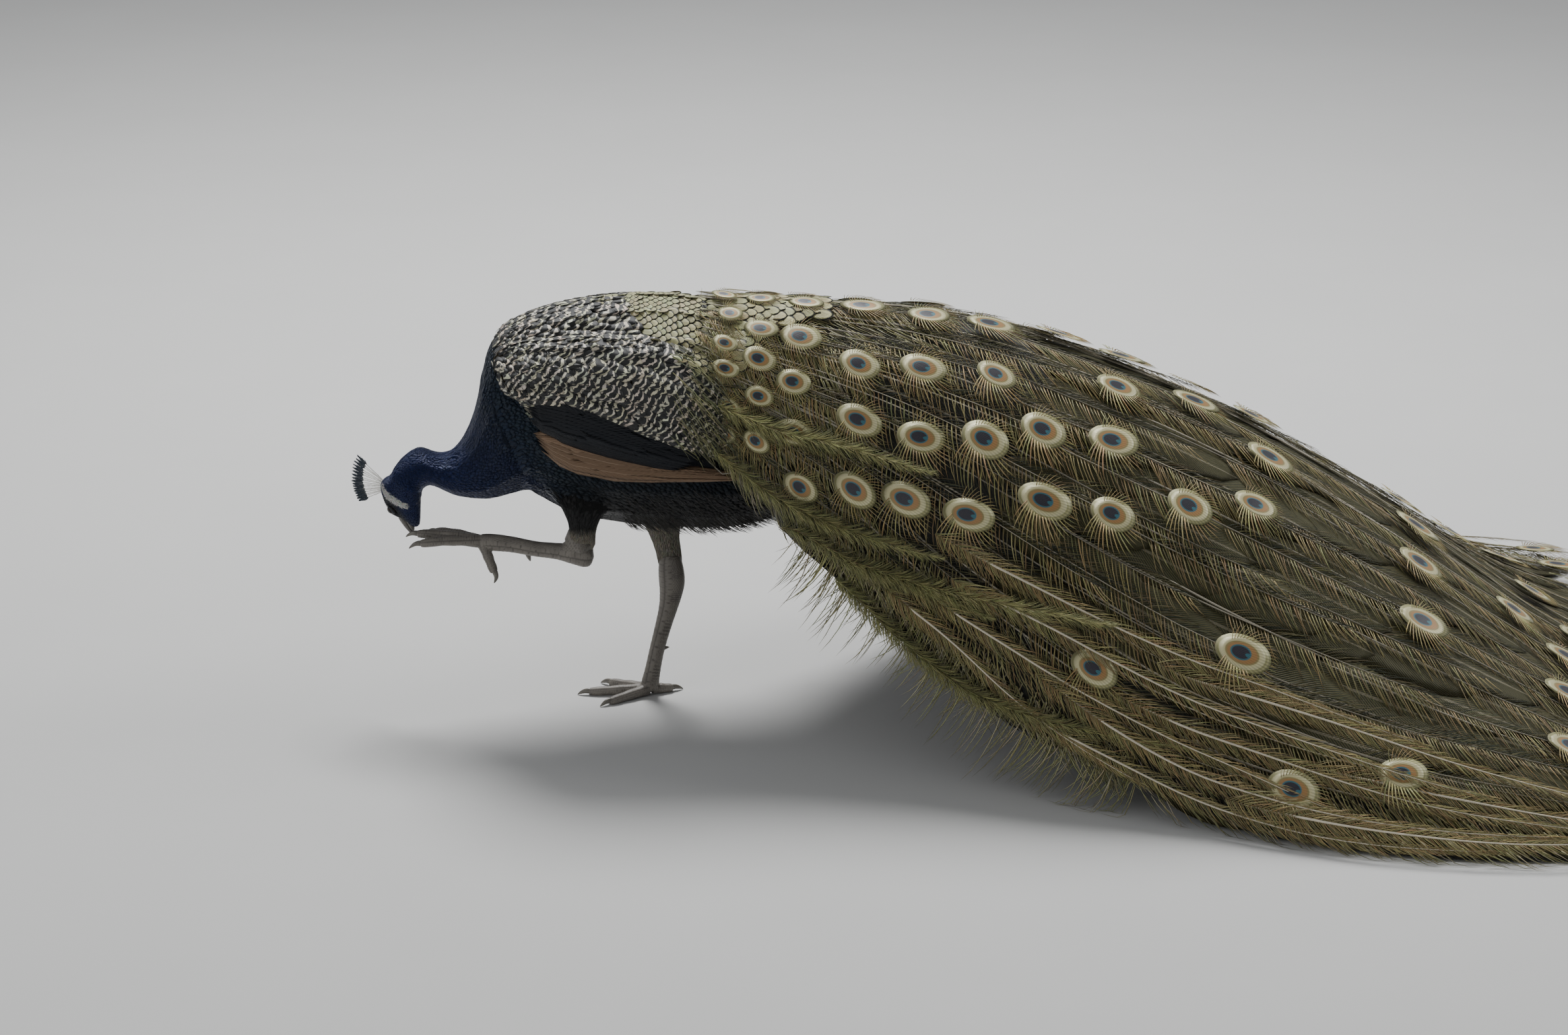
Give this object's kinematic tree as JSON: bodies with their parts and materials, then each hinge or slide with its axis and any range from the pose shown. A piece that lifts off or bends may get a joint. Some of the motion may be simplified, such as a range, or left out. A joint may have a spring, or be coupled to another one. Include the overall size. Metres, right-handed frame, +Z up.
{
  "type": "peacock model",
  "caption": "Life-size peacock standing on one foot, scratching its lowered head with the other, with a long eyed train spread down to the floor behind it.",
  "frame": {"origin": "on the floor under the middle of the standing right foot", "axes": "+Z up, -X the way the bird faces, +X along the train, -Y the bird's left side"},
  "size_m": [1.7975, 1.035, 0.5399],
  "materials": {
    "neck_plumage": "iridescent blue body feathers, satin",
    "body_plumage": "greenish black body feathers, satin",
    "thigh_plumage": "buff grey thigh feathers, matt",
    "barred_plumage": "buff and black barred wing feathers, satin",
    "secondary_plumage": "blue-black flight feathers, satin",
    "primary_plumage": "chestnut flight feathers, satin",
    "train_plumage": "bronze-green train feathers, satin",
    "tail_plumage": "brown tail feathers, matt",
    "crest_plumage": "blue-tipped crest plumes, satin",
    "leg_scales": "grey-brown leg scales, satin",
    "horn": "dark grey horn, satin",
    "eye": "dark brown eye, gloss"
  },
  "bodies": {
    "root": {"bill_lower": "horn", "bill_upper": "horn", "claw_left_hind": "horn", "claw_left_inner": "horn", "claw_left_middle": "horn", "claw_left_outer": "horn", "claw_right_hind": "horn", "claw_right_inner": "horn", "claw_right_middle": "horn", "claw_right_outer": "horn", "crest": "crest_plumage", "eye_left": "eye", "eye_right": "eye", "foot_left": "leg_scales", "foot_right": "leg_scales", "head": "neck_plumage", "neck_lower": "neck_plumage", "neck_upper": "neck_plumage", "primaries_left": "primary_plumage", "primaries_right": "primary_plumage", "secondaries_left": "secondary_plumage", "secondaries_right": "secondary_plumage", "shank_left": "leg_scales", "shank_right": "leg_scales", "spur_left": "horn", "spur_right": "horn", "tail": "tail_plumage", "thigh_left": "thigh_plumage", "thigh_right": "thigh_plumage", "train_1_left": "train_plumage", "train_1_middle": "train_plumage", "train_1_right": "train_plumage", "train_2_left": "train_plumage", "train_2_middle": "train_plumage", "train_2_right": "train_plumage", "train_3_left": "train_plumage", "train_3_middle": "train_plumage", "train_3_right": "train_plumage", "train_4_left": "train_plumage", "train_4_middle": "train_plumage", "train_4_right": "train_plumage", "trunk": "body_plumage", "wing_left": "barred_plumage", "wing_right": "barred_plumage"}
  },
  "joints": []
}
